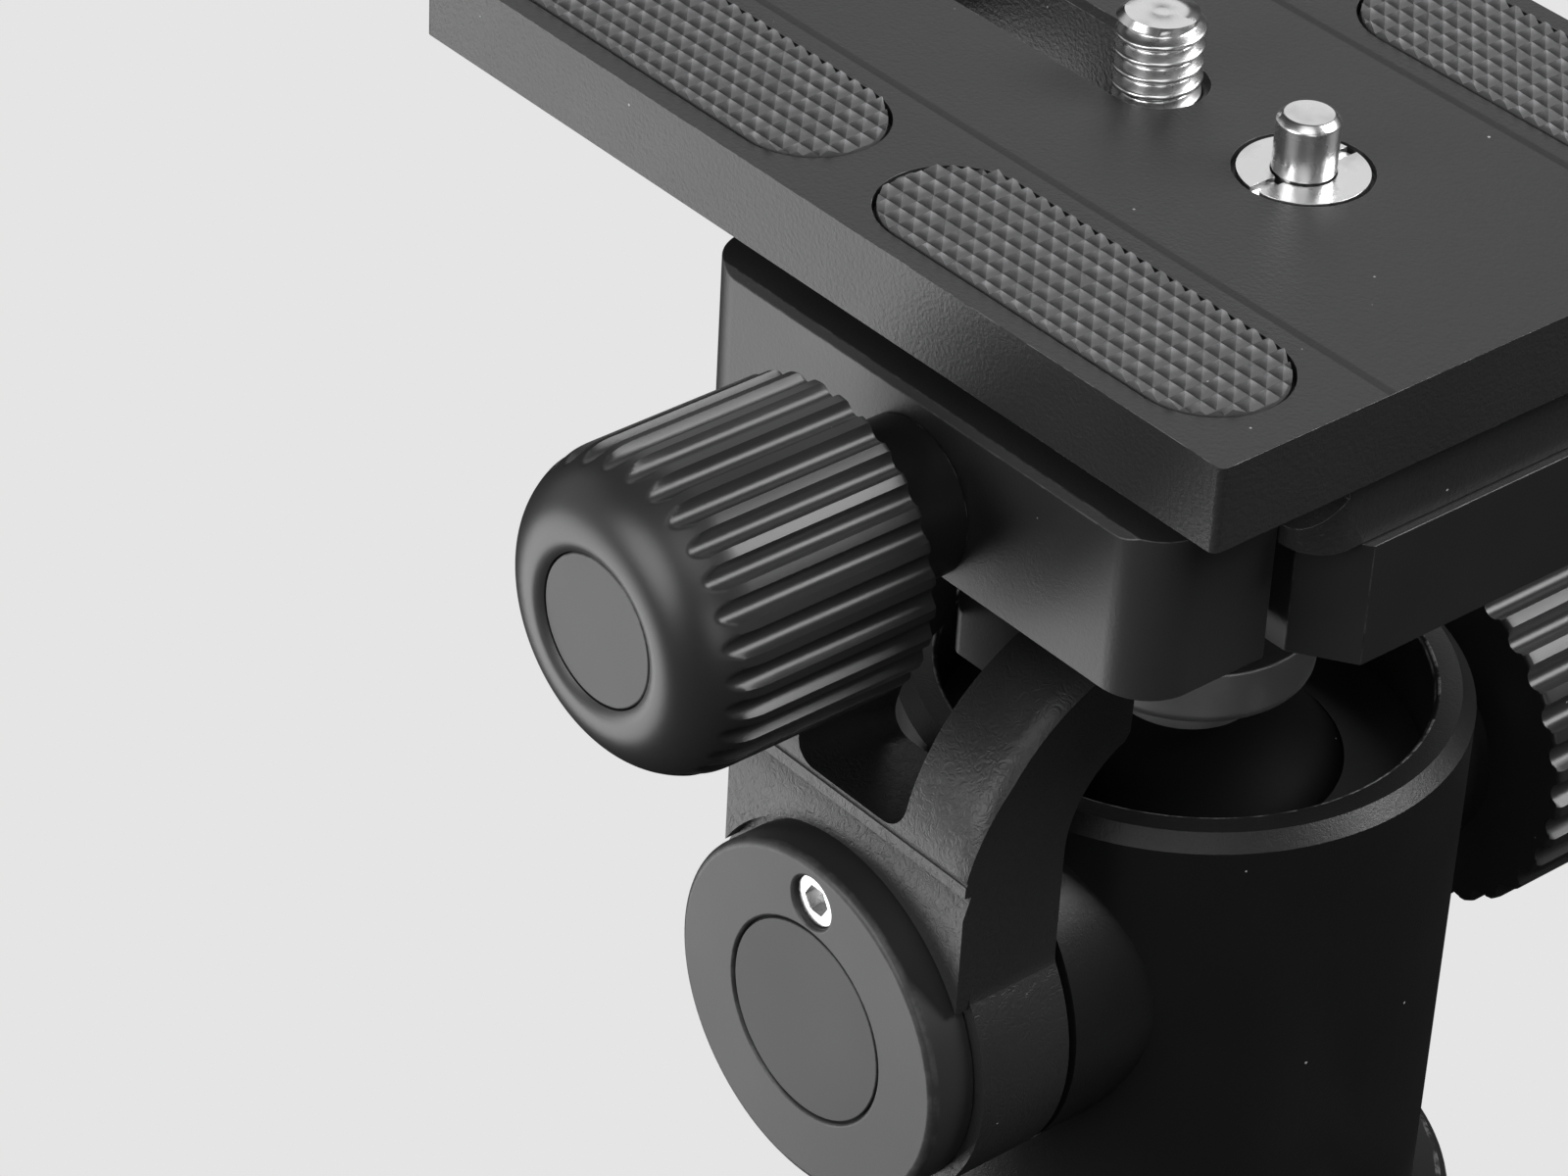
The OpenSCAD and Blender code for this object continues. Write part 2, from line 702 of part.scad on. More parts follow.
// The frame's section in Y and Z, from the pivot's middle to the end that meets the neck
module frame_section() {
    bend = tilt_z + bend_rise;
    steps = 20;
    mid = frame_in - arch_rise + bend_rise;
    outer_turn = acos((neck_front - mid) / (frame_out - mid)) / steps;
    inner_turn = acos((neck_front - mid) / (frame_in - mid)) / steps;
    outer = [for (i = [0:steps - 1]) let (a = i * outer_turn)
        [-mid - (frame_out - mid) * cos(a), bend + (crest_rise - bend_rise) * sin(a)]];
    inner = [for (i = [steps - 1:-1:0]) let (a = i * inner_turn)
        [-mid - (frame_in - mid) * cos(a), bend + (arch_rise - bend_rise) * sin(a)]];
    polygon(concat([[-frame_in, tilt_z], [-frame_out, tilt_z]],
        outer, [[-neck_front, tilt_z + crest_rise], [-neck_front, tilt_z + arch_rise]], inner));
}
// The frame's round foot, with a rounding on each side where it meets the straight part
module frame_foot() {
    steps = 8;
    x = frame_w / 2 + foot_fillet;
    z = sqrt(pow(foot_r - foot_bite + foot_fillet, 2) - x * x);
    turn = atan(z / x) / steps;
    circle(r = foot_r);
    for (i = [-1, 1]) polygon(concat([[0, 0], [0, z]], [for (s = [0:steps])
        [i * (x - foot_fillet * cos(s * turn)), z - foot_fillet * sin(s * turn)]]));
}
// The cut under the ridge that crosses the frame's front: a long slope and a short upper side
module ridge_cutter() {
    along_x(2 * frame_w) polygon([[-frame_out + ridge_cut, tilt_z + ridge_high],
        [-frame_out - ridge_cut, tilt_z + ridge_high + 2 * ridge_edge],
        [-frame_out - ridge_cut, tilt_z + 2 * ridge_low - ridge_high]]);
}
module window_cutter() {
    translate([0, -frame_out, tilt_z + window_sill]) rotate([-atan(sill_fall / frame_t), 0, 0])
        translate([0, frame_out, window_w / 2]) rotate([90, 0, 0]) linear_extrude(frame_out + 2 * over) {
            round_rect(window_w, window_w, window_round);
            translate([-window_w / 2, 0]) square([window_w, crest_rise]);
        }
}
module tilt_frame() {
    color("#19191a") difference() {
        union() {
            along_x(frame_w) frame_section();
            translate([0, -frame_in, tilt_z]) rotate([90, 0, 0]) linear_extrude(floor_y - frame_in) frame_foot();
        }
        window_cutter();
        ridge_cutter();
        rod_y(recess_r, -frame_out - over, -floor_y, tilt_z);
        rod_y(pivot_r + run + bush_wall, -frame_out - over, 0, tilt_z);
        rod_y(cap_screw_r + snug, -frame_out, -floor_y + cap_screw_l, tilt_z + cap_screw_rise);
        frame_screw_places() rod_y(frame_screw_r + snug, -frame_screw_l, over);
        translate([0, -frame_out, 0]) rod_x(line_r, -frame_w, frame_w, tilt_z + line_rise);
    }
}
module frame_screws() {
    color("#77797b") frame_screw_places() rotate([-90, 0, 0])
        socket_screw(frame_screw_r, frame_screw_l - edge_break, frame_head_r, frame_head_h);
}
module pivot_bush() {
    color("#b8925a") difference() {
        rod_y(pivot_r + run + bush_wall - snug, -floor_y, -frame_in, tilt_z);
        rod_y(pivot_r + run, -floor_y - over, -frame_in + over, tilt_z);
    }
}
module pivot_keeper() {
    back = floor_y + slip;
    color("#a9abad") difference() {
        rod_y(keeper_cap_r, -back - pivot_keeper_t, -back, tilt_z);
        rod_y(pivot_bolt_r + snug, -back - pivot_keeper_t - over, -back + over, tilt_z);
    }
}
module pivot_screw() {
    back = floor_y + slip + pivot_keeper_t;
    color("#8d8f91") translate([0, -back, tilt_z]) rotate([90, 0, 0])
        socket_screw(pivot_bolt_r, pivot_bolt_l - edge_break, pivot_head_r, pivot_head_h);
}
module pivot_cap() {
    color("#1d1d1e") difference() {
        translate([0, -floor_y, tilt_z]) rotate([90, 0, 0]) bevelled(cap_r, cap_t, 0, cap_bevel);
        rod_y(cap_hollow_r, -floor_y - cap_hollow_d, -floor_y + over, tilt_z);
        rod_y(badge_r + pad_gap / 2, -cap_y - over, -cap_y + badge_t + badge_sunk, tilt_z);
        rod_y(cap_screw_r + snug, -cap_y - over, -floor_y + over, tilt_z + cap_screw_rise);
    }
}
module cap_badge() {
    front = cap_y - badge_sunk;
    color("#2a2a2b") rod_y(badge_r, -front, -front + badge_t, tilt_z);
}
module cap_screw() {
    front = cap_y - cap_screw_sunk;
    color("#c9cbcd") translate([0, 0, cap_screw_rise]) difference() {
        rod_y(cap_screw_r, -front, -floor_y + cap_screw_l - edge_break, tilt_z);
        translate([0, -front - over, tilt_z]) rotate([-90, 0, 0])
            cylinder(r = cap_screw_r * hex_share, h = cap_screw_r + over, $fn = 6);
    }
}

// Clamp and jaw

module guide_places() {
    for (i = [-1, 1]) translate([i * guide_x, 0, knob_z]) children();
}
module clamp_body() {
    lip = foot_half + grip_gap * sqrt(2) - (jaw_top - plate_z - foot_edge);
    rise = plate_z + foot_edge + lip + (jaw_top - plate_z - foot_edge) - jaw_back;
    depth = clamp_front + clamp_back;
    color("#151516") difference() {
        translate([0, (clamp_back - clamp_front) / 2, clamp_z]) linear_extrude(jaw_top - clamp_z)
            round_rect(clamp_l, depth, clamp_corner);
        along_x(2 * clamp_l) polygon([[-depth, clamp_floor], [jaw_back, clamp_floor], [jaw_back, rise],
            [lip, jaw_top], [lip, jaw_top + over], [-depth, jaw_top + over]]);
        rod_y(clamp_screw_r + run, -clamp_front - over, -clamp_front + clamp_bore_l, knob_z);
        guide_places() {
            rod_y(guide_r, -clamp_front - over, -clamp_front + guide_in);
            rod_y(spring_r + snug, -clamp_front - over, -clamp_front + spring_pocket);
        }
        for (i = [-1, 1]) translate([0, -clamp_front, clamp_z - over]) linear_extrude(jaw_top)
            polygon([[i * (clamp_l / 2 - 2 * slant_l), -slant_w], [i * (clamp_l / 2 + slant_l), 2 * slant_w],
                [i * (clamp_l / 2 + slant_l), -slant_w]]);
        neck_places() translate([0, 0, clamp_z - over]) cylinder(r = neck_screw_r + snug, h = neck_screw_l + over);
    }
}
module guide_pins() {
    color("#b4b6b8") guide_places() rod_y(guide_r - snug, -jaw_back - guide_out, -clamp_front + guide_in);
}
module jaw_springs() {
    l = spring_pocket + jaw_back - clamp_front;
    color("#9a9c9e") guide_places() translate([0, -jaw_back, 0]) rotate([-90, 0, 0])
        coil(spring_r, spring_wire, l, spring_turns);
}
module clamp_jaw() {
    lip = foot_half + grip_gap * sqrt(2) - (jaw_top - plate_z - foot_edge);
    rise = plate_z + foot_edge + lip + (jaw_top - plate_z - foot_edge) - jaw_back;
    low = clamp_z + jaw_lift;
    wide = 2 * jaw_out;
    color("#1a1a1b") difference() {
        intersection() {
            along_x(jaw_l) polygon([[-jaw_out, low], [-jaw_back, low], [-jaw_back, rise], [-lip, jaw_top],
                [-jaw_out + edge_break, jaw_top], [-jaw_out, jaw_top - edge_break]]);
            translate([0, 0, low]) linear_extrude(jaw_top - low) round_rect(jaw_l, wide, jaw_corner);
        }
        rod_y(journal_r + run, -jaw_out - over, 0, knob_z);
        rod_y(clip_r + run, -jaw_back - clip_t - slip, 0, knob_z);
        guide_places() rod_y(guide_r + run, -jaw_back - guide_out - edge_break, 0);
    }
}
module clamp_screw() {
    thread_end = -clamp_front + clamp_bore_l - edge_break;
    color("#9fa1a3") union() {
        rod_y(journal_r, -knob_back - screw_in_knob, -jaw_back, knob_z);
        rod_y(clamp_screw_r, -jaw_back - slip, thread_end, knob_z);
    }
}
module screw_clip() {
    color("#77797b") difference() {
        rod_y(clip_r, -jaw_back - clip_t, -jaw_back, knob_z);
        rod_y(journal_r + snug, -jaw_back - clip_t - over, -jaw_back + over, knob_z);
    }
}
module knob_collar() {
    color("#101011") difference() {
        rod_y(knob_neck_r, -knob_back, -jaw_out - slip, knob_z);
        rod_y(journal_r + snug, -knob_back - over, -jaw_out + over, knob_z);
    }
}
module clamp_knob() {
    color("#1c1c1d") translate([0, -knob_back, knob_z]) rotate([90, 0, 0])
        fluted(knob_r, knob_l, knob_round, knob_flutes, flute_r, disc_r + disc_rim, disc_t + disc_sunk,
            journal_r + snug, screw_in_knob);
}
module knob_disc() {
    front = knob_front - disc_sunk;
    color("#3a3a3c") rod_y(disc_r, -front, -front + disc_t, knob_z);
}

// Plate and its fittings

// The bevel at the upper edge of a long hole, whose mouth is at z = 0
module slot_bevel(l, r, cut) {
    top = r + cut;
    along_x(l - 2 * r) polygon([[-r, -cut], [r, -cut], [top, 0], [top, over], [-top, over], [-top, 0]]);
    for (i = [-1, 1]) translate([i * (l / 2 - r), 0, 0]) {
        translate([0, 0, -cut]) cylinder(r1 = r, r2 = top, h = cut);
        cylinder(r = top, h = over);
    }
}
module pad_places() {
    for (i = [-1, 1], j = [-1, 1]) translate([plate_x + i * pad_x, j * pad_y, 0]) children();
}
module qr_plate() {
    neck_half = foot_half - flank_h;
    foot_l = plate_l - 2 * foot_inset;
    slot_l = screw_travel + 2 * slot_r;
    color("#1a1a1b") difference() {
        union() {
            translate([plate_x, 0, wing_z]) linear_extrude(wing_t) round_rect(plate_l, plate_w, plate_corner);
            translate([plate_x, 0, 0]) intersection() {
                along_x(foot_l) polygon([
                    [-foot_half, plate_z], [foot_half, plate_z], [foot_half, plate_z + foot_edge],
                    [neck_half, plate_z + foot_edge + flank_h], [neck_half, wing_z + edge_break],
                    [-neck_half, wing_z + edge_break], [-neck_half, plate_z + foot_edge + flank_h],
                    [-foot_half, plate_z + foot_edge]]);
                translate([0, 0, plate_z]) linear_extrude(foot_h + over) round_rect(foot_l, foot_w, foot_corner);
            }
        }
        pad_places() translate([0, 0, plate_top - pad_sunk])
            linear_extrude(pad_sunk + over) stadium(pad_l + 2 * pad_gap, pad_w + 2 * pad_gap);
        translate([plate_x + screw_x - screw_travel / 2, 0, plate_z - over]) {
            linear_extrude(plate_top - plate_z + 2 * over) stadium(slot_l, 2 * slot_r);
            linear_extrude(channel_h + over) stadium(screw_travel + 2 * channel_r, 2 * channel_r);
            translate([0, 0, plate_top - plate_z + over]) slot_bevel(slot_l, slot_r, slot_break);
        }
        translate([plate_x + pin_x, 0, 0]) {
            translate([0, 0, plate_z + pin_well_floor]) cylinder(r = bush_body_r + snug, h = plate_top);
            translate([0, 0, plate_top - bush_flange_t]) cylinder(r = bush_r + pad_gap, h = wing_t);
        }
    }
}
module plate_pads() {
    color("#3c3c3d") pad_places() translate([0, 0, plate_top - pad_sunk])
        linear_extrude(pad_sunk + pad_proud) stadium(pad_l, pad_w);
}
module pin_bush() {
    color("#d5d7d9") translate([plate_x + pin_x, 0, 0]) difference() {
        union() {
            translate([0, 0, plate_top - bush_flange_t]) cylinder(r = bush_r, h = bush_flange_t);
            translate([0, 0, bush_end]) cylinder(r = bush_body_r, h = bush_body_l);
        }
        translate([0, 0, bush_end - over]) cylinder(r = pin_r + run, h = bush_body_l + 2 * over);
        translate([-bush_slot_w / 2, -bush_r - over, plate_top - bush_slot_d])
            cube([bush_slot_w, 2 * (bush_r + over), bush_slot_d + over]);
    }
}
module video_pin() {
    guide_l = plate_top + relief - bush_end + slip;
    color("#d5d7d9") translate([plate_x + pin_x, 0, bush_end - slip]) {
        translate([0, 0, -pin_head_t]) cylinder(r = pin_head_r, h = pin_head_t);
        cylinder(r = pin_guide_r, h = guide_l + edge_break);
        translate([0, 0, guide_l]) bevelled(pin_r, pin_proud - relief, 0, pin_bevel);
    }
}
module pin_spring() {
    low = plate_z + pin_well_floor;
    color("#9a9c9e") translate([plate_x + pin_x, 0, low])
        coil(pin_spring_r, pin_wire, bush_end - slip - pin_head_t - low, pin_turns);
}
module screw_slider() {
    color("#9a9c9e") translate([plate_x + screw_x, 0, plate_z + channel_h - slip - slider_t]) difference() {
        cylinder(r = slider_r, h = slider_t);
        translate([0, 0, -over]) cylinder(r = screw_neck_r + run, h = slider_t + 2 * over);
    }
}
module camera_screw() {
    under = plate_z + channel_h - slip - slider_t - slip;
    shank_l = plate_top + relief - under;
    color("#c9cbcd") translate([plate_x + screw_x, 0, under]) difference() {
        union() {
            cylinder(r = screw_neck_r, h = shank_l + edge_break);
            translate([0, 0, shank_l]) bevelled(screw_r, screw_proud - relief, 0, pin_bevel);
            translate([0, 0, -head_t]) cylinder(r = slider_r, h = head_t);
        }
        translate([-slider_r - over, -bush_slot_w, -head_t - over])
            cube([2 * (slider_r + over), 2 * bush_slot_w, head_t / 2 + over]);
    }
}

pan_base();
base_socket();
foot_ring();
pan_washer();
keeper_plate();
keeper_screw();
housing();
seat_ring();
ball_cup();
cup_spring();
pivot_stud();
pivot_washer();
pressure_block();
lock_screw();
lock_knob();
lock_knob_cap();
pan_shoe();
pan_screw();
pan_knob();
pan_knob_cap();
ball();
ball_stem();
stem_bolt();
head_neck();
neck_screws();
tilt_frame();
frame_screws();
pivot_bush();
pivot_keeper();
pivot_screw();
pivot_cap();
cap_badge();
cap_screw();
set_back() clamp_body();
set_back() guide_pins();
set_back() jaw_springs();
set_back() clamp_jaw();
set_back() clamp_screw();
set_back() screw_clip();
set_back() knob_collar();
set_back() clamp_knob();
set_back() knob_disc();
set_back() qr_plate();
set_back() plate_pads();
set_back() pin_bush();
set_back() video_pin();
set_back() pin_spring();
set_back() screw_slider();
set_back() camera_screw();
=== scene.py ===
"""Dresses the tripod ball head: its finer pieces, their finishes, the light and the camera."""
import json
from math import atan2, cos, degrees, hypot, pi, radians, sin, sqrt

import bmesh
import bpy
from mathutils import Matrix, Vector


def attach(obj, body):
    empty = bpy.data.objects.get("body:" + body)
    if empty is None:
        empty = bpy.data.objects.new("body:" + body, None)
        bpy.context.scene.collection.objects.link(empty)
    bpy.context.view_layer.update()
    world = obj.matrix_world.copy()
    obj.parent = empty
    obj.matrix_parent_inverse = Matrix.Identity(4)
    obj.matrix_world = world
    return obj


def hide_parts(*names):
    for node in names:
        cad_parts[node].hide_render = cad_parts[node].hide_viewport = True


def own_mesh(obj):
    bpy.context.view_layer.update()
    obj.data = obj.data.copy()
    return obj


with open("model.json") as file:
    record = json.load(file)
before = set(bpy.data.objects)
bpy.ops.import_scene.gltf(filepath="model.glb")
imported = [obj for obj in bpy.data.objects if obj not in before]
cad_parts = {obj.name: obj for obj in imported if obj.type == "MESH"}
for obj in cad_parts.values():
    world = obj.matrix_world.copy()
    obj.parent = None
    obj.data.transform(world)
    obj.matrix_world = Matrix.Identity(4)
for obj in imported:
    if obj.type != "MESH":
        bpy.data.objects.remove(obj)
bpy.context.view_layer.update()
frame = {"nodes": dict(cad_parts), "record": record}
scene = bpy.context.scene
MM = 0.001

# Levels and sizes of the head, in millimetres, as in its solid model
TILT_Z = 42
KNOB_Z = 83.7
PLATE_TOP = 100.4
PLATE_X = -13.25
PAD_X = 19.75
PAD_Y = 22.6
PAD_L = 35
PAD_W = 10.6
PAD_DEPTH = 1.1
SCREW_X = -10.5
SCREW_R = 3.175
SCREW_TOP = 106.0
KNURL = 1.45
KNURL_RISE = 0.62
HEAD_BACK = 2.1
KNOB_BACK = 35.65
LOCK_BACK = 25.7
PAN_BACK = 26.5
PAN_Z = 17.25

# Camera: its place, the axes of its picture, its lens and its film width in millimetres
CAMERA_PLACE = Vector((230.904, -244.277, 293.924)) * MM
CAMERA_RIGHT = Vector((0.64046, 0.76670, 0.04442))
CAMERA_UP = Vector((-0.45995, 0.33661, 0.82167))
LENS = 130.81
FILM = 36


def place_camera():
    """The camera at the photograph's viewing angle."""
    data = bpy.data.cameras.new("camera")
    data.lens = LENS
    data.sensor_width = FILM
    data.clip_start = 0.02
    camera = bpy.data.objects.new("camera", data)
    right = CAMERA_RIGHT.normalized()
    back = right.cross(CAMERA_UP).normalized()
    up = back.cross(right)
    turn = Matrix((right, up, back)).transposed().to_4x4()
    camera.matrix_world = Matrix.Translation(CAMERA_PLACE) @ turn
    scene.collection.objects.link(camera)
    scene.camera = camera


place_camera()


# Shader groups

def put(tree, kind, inputs=(), **settings):
    """A new node in tree with its settings, and its inputs set or linked."""
    made = tree.nodes.new(kind)
    for name, value in settings.items():
        setattr(made, name, value)
    for name, value in dict(inputs).items():
        if isinstance(value, bpy.types.NodeSocket):
            tree.links.new(value, made.inputs[name])
        else:
            made.inputs[name].default_value = value
    return made


def calc(tree, operation, *values, clamp=False):
    """A Math node's output."""
    made = tree.nodes.new("ShaderNodeMath")
    made.operation = operation
    made.use_clamp = clamp
    for i, value in enumerate(values):
        if isinstance(value, bpy.types.NodeSocket):
            tree.links.new(value, made.inputs[i])
        else:
            made.inputs[i].default_value = value
    return made.outputs[0]


def blend_colour(tree, share, first, second):
    """A colour between two, by share."""
    made = put(tree, "ShaderNodeMix", data_type="RGBA")
    for i, value in ((0, share), (6, first), (7, second)):
        if isinstance(value, bpy.types.NodeSocket):
            tree.links.new(value, made.inputs[i])
        else:
            made.inputs[i].default_value = value
    return made.outputs[2]


def ramp(tree, value, low, high):
    """Value as a smooth share between low and high."""
    made = put(tree, "ShaderNodeMapRange", {0: value, 1: low, 2: high}, interpolation_type="SMOOTHSTEP")
    return made.outputs[0]


def new_group(name, inputs, outputs):
    """A shader group with named sockets: its tree, its input node's sockets and its output node."""
    tree = bpy.data.node_groups.new(name, "ShaderNodeTree")
    for socket, value in inputs.items():
        kind = "NodeSocketColor" if isinstance(value, tuple) else "NodeSocketFloat"
        made = tree.interface.new_socket(socket, in_out="INPUT", socket_type=kind)
        made.default_value = (*value, 1) if isinstance(value, tuple) else value
    for socket, kind in outputs.items():
        tree.interface.new_socket(socket, in_out="OUTPUT", socket_type=kind)
    return tree, tree.nodes.new("NodeGroupInput").outputs, tree.nodes.new("NodeGroupOutput")


def send(tree, output, **links):
    """Links named sockets to a group's output node."""
    for name, value in links.items():
        tree.links.new(value, output.inputs[name])


def make_grain():
    """Fine blasted grain: a height, Size in millimetres."""
    tree, given, out = new_group("blasted grain", {"Size": 0.25}, {"Height": "NodeSocketFloat"})
    place = put(tree, "ShaderNodeTexCoord").outputs["Object"]
    scale = calc(tree, "DIVIDE", 1000.0, given["Size"])
    noise = put(tree, "ShaderNodeTexNoise",
                {"Vector": place, "Scale": scale, "Detail": 2.5, "Roughness": 0.6})
    send(tree, out, Height=calc(tree, "SUBTRACT", noise.outputs[0], 0.5))
    return tree


def make_wrinkle():
    """Leathery cast wrinkles: a height, Size in millimetres."""
    tree, given, out = new_group("cast wrinkle", {"Size": 0.8}, {"Height": "NodeSocketFloat"})
    place = put(tree, "ShaderNodeTexCoord").outputs["Object"]
    scale = calc(tree, "DIVIDE", 1000.0, given["Size"])
    noise = put(tree, "ShaderNodeTexNoise",
                {"Vector": place, "Scale": scale, "Detail": 2.0, "Roughness": 0.55, "Distortion": 1.2})
    ridge = calc(tree, "ABSOLUTE", calc(tree, "SUBTRACT", noise.outputs[0], 0.5))
    send(tree, out, Height=calc(tree, "SUBTRACT", 0.2, ridge))
    return tree


def make_edge_wear_and_sheen():
    """A broken mask of edges that are partly rubbed wear and partly a painted highlight, from the attribute
    that a bevel's faces carry.
    """
    tree, given, out = new_group("rubbed edges with painted highlight", {"Amount": 0.5, "Size": 1.5}, {"Mask": "NodeSocketFloat"})
    place = put(tree, "ShaderNodeTexCoord").outputs["Object"]
    edge = put(tree, "ShaderNodeAttribute", attribute_name="edge").outputs["Fac"]
    scale = calc(tree, "DIVIDE", 1000.0, given["Size"])
    noise = put(tree, "ShaderNodeTexNoise",
                {"Vector": place, "Scale": scale, "Detail": 4.0, "Roughness": 0.7})
    broken = ramp(tree, noise.outputs[0], 0.42, 0.62)
    # Edges pale in broken patches: partly rubbed wear, partly a painted highlight on the bevels.
    rubbed = calc(tree, "MULTIPLY", edge, broken)
    send(tree, out, Mask=calc(tree, "MULTIPLY", rubbed, given["Amount"], clamp=True))
    return tree


def make_dust():
    """Sparse specks of dust: a mask, Cell in millimetres and Share of the cells that hold one."""
    tree, given, out = new_group("dust specks", {"Cell": 1.2, "Share": 0.06, "Speck": 0.07},
                                 {"Mask": "NodeSocketFloat"})
    place = put(tree, "ShaderNodeTexCoord").outputs["Object"]
    scale = calc(tree, "DIVIDE", 1000.0, given["Cell"])
    cells = put(tree, "ShaderNodeTexVoronoi", {"Vector": place, "Scale": scale, "Randomness": 1.0})
    tone = put(tree, "ShaderNodeSeparateColor", {0: cells.outputs["Color"]})
    chosen = calc(tree, "LESS_THAN", tone.outputs[0], given["Share"])
    size = calc(tree, "MULTIPLY", given["Speck"], calc(tree, "ADD", tone.outputs[1], 0.4))
    near = calc(tree, "LESS_THAN", cells.outputs["Distance"], size)
    send(tree, out, Mask=calc(tree, "MULTIPLY", chosen, near))
    return tree


GRAIN = make_grain()
WRINKLE = make_wrinkle()
EDGE_WEAR_AND_SHEEN = make_edge_wear_and_sheen()
DUST = make_dust()


def use(tree, group, **values):
    """A group's outputs, with its inputs set."""
    made = tree.nodes.new("ShaderNodeGroup")
    made.node_tree = group
    for name, value in values.items():
        made.inputs[name].default_value = value
    return made.outputs


# Materials: tones of the pale edges, which are partly rubbed wear and partly a painted edge highlight, and of
# dust, and how far a finish's roughness varies
RUBBED_AND_SHEEN_TONE = 0.32
DUST_TONE = 0.45
PAD_DUST_TONE = 0.5
ROUGH_SPREAD = 0.04


def start_material(name, metallic, level):
    """A material with its shader: (material, tree, shader)."""
    material = bpy.data.materials.new(name)
    material.use_nodes = True
    tree = material.node_tree
    shader = tree.nodes["Principled BSDF"]
    shader.inputs["Metallic"].default_value = metallic
    shader.inputs["Specular IOR Level"].default_value = level
    return material, tree, shader


def grey(value):
    """A neutral colour."""
    return (value, value, value * 1.02, 1)


def finish_surface(tree, shader, height):
    """Feeds a height in millimetres to the shader's normal."""
    bump = put(tree, "ShaderNodeBump", {"Height": height, "Distance": MM, "Strength": 1.0})
    tree.links.new(bump.outputs[0], shader.inputs["Normal"])


def black_finish(name, tone, rough, grain=(0.25, 0.01), wrinkle=None, wear_and_sheen_amount=0.35, dust=0.03, level=0.5):
    """Black anodised or painted metal with its grain, its wrinkles, pale edges that are partly rubbed wear
    and partly a painted highlight, and a little dust.
    """
    material, tree, shader = start_material(name, 0.0, level)
    place = put(tree, "ShaderNodeTexCoord").outputs["Object"]
    cloud = put(tree, "ShaderNodeTexNoise", {"Vector": place, "Scale": 90.0, "Detail": 3.0}).outputs[0]
    colour = blend_colour(tree, cloud, grey(tone * 0.85), grey(tone * 1.15))
    # Pale edges: partly rubbed wear, partly a painted highlight on the bevels.
    wear_and_sheen = use(tree, EDGE_WEAR_AND_SHEEN, Amount=wear_and_sheen_amount)["Mask"]
    colour = blend_colour(tree, wear_and_sheen, colour, grey(RUBBED_AND_SHEEN_TONE))
    specks = use(tree, DUST, Share=dust)["Mask"]
    colour = blend_colour(tree, specks, colour, grey(DUST_TONE))
    tree.links.new(colour, shader.inputs["Base Color"])
    patch = put(tree, "ShaderNodeMapRange",
                {0: cloud, 3: rough - ROUGH_SPREAD, 4: rough + ROUGH_SPREAD}).outputs[0]
    tree.links.new(calc(tree, "ADD", patch, calc(tree, "MULTIPLY", specks, 0.3)), shader.inputs["Roughness"])
    height = calc(tree, "MULTIPLY", use(tree, GRAIN, Size=grain[0])["Height"], grain[1])
    if wrinkle:
        folds = calc(tree, "MULTIPLY", use(tree, WRINKLE, Size=wrinkle[0])["Height"], wrinkle[1])
        height = calc(tree, "ADD", height, folds)
    finish_surface(tree, shader, height)
    return material


RUBBER_ROUGH = 0.75
RUBBER_GRAIN = 0.18
RUBBER_GRAIN_HEIGHT = 0.03
CHALK = 3.2


def rubber_finish(name, tone):
    """Dark rubber with a fine tooth, pale and chalky where the grip's tips are rubbed."""
    material, tree, shader = start_material(name, 0.0, 0.35)
    place = put(tree, "ShaderNodeTexCoord").outputs["Object"]
    cloud = put(tree, "ShaderNodeTexNoise",
                {"Vector": place, "Scale": 700.0, "Detail": 5.0, "Roughness": 0.7}).outputs[0]
    height = put(tree, "ShaderNodeSeparateXYZ", {0: place}).outputs[2]
    tips = ramp(tree, height, (PLATE_TOP + 0.1) * MM, (PLATE_TOP + KNURL_RISE) * MM)
    chalk = calc(tree, "MULTIPLY", ramp(tree, cloud, 0.3, 0.65), tips)
    colour = blend_colour(tree, chalk, grey(tone), grey(tone * CHALK))
    specks = use(tree, DUST, Share=0.05, Cell=0.9)["Mask"]
    tree.links.new(blend_colour(tree, specks, colour, grey(PAD_DUST_TONE)), shader.inputs["Base Color"])
    tree.links.new(calc(tree, "ADD", RUBBER_ROUGH, calc(tree, "MULTIPLY", chalk, 0.15)),
                   shader.inputs["Roughness"])
    tooth = use(tree, GRAIN, Size=RUBBER_GRAIN)["Height"]
    finish_surface(tree, shader, calc(tree, "MULTIPLY", tooth, RUBBER_GRAIN_HEIGHT))
    return material


LINE_HEIGHT = 0.004
LINE_SCALE = (900.0, 900.0, 9000.0)


def bright_finish(name, tone, rough, tint=(1, 1, 1)):
    """Plated or plain turned metal with fine tool lines round Z."""
    material, tree, shader = start_material(name, 1.0, 0.5)
    place = put(tree, "ShaderNodeTexCoord").outputs["Object"]
    stretched = put(tree, "ShaderNodeMapping", {"Vector": place, "Scale": LINE_SCALE}).outputs[0]
    noise = put(tree, "ShaderNodeTexNoise",
                {"Vector": stretched, "Scale": 1.0, "Detail": 3.0, "Roughness": 0.6}).outputs[0]
    cloud = put(tree, "ShaderNodeTexNoise", {"Vector": place, "Scale": 350.0, "Detail": 3.0}).outputs[0]
    dull = ramp(tree, cloud, 0.45, 0.8)
    high = tuple(tone * t for t in tint)
    low = tuple(tone * t * 0.8 for t in tint)
    tree.links.new(blend_colour(tree, dull, (*high, 1), (*low, 1)), shader.inputs["Base Color"])
    tree.links.new(calc(tree, "ADD", rough, calc(tree, "MULTIPLY", dull, 0.12)), shader.inputs["Roughness"])
    finish_surface(tree, shader, calc(tree, "MULTIPLY", noise, LINE_HEIGHT))
    return material


PLASTIC_ROUGH = 0.4
PLASTIC_GRAIN = 0.4
PLASTIC_GRAIN_HEIGHT = 0.01


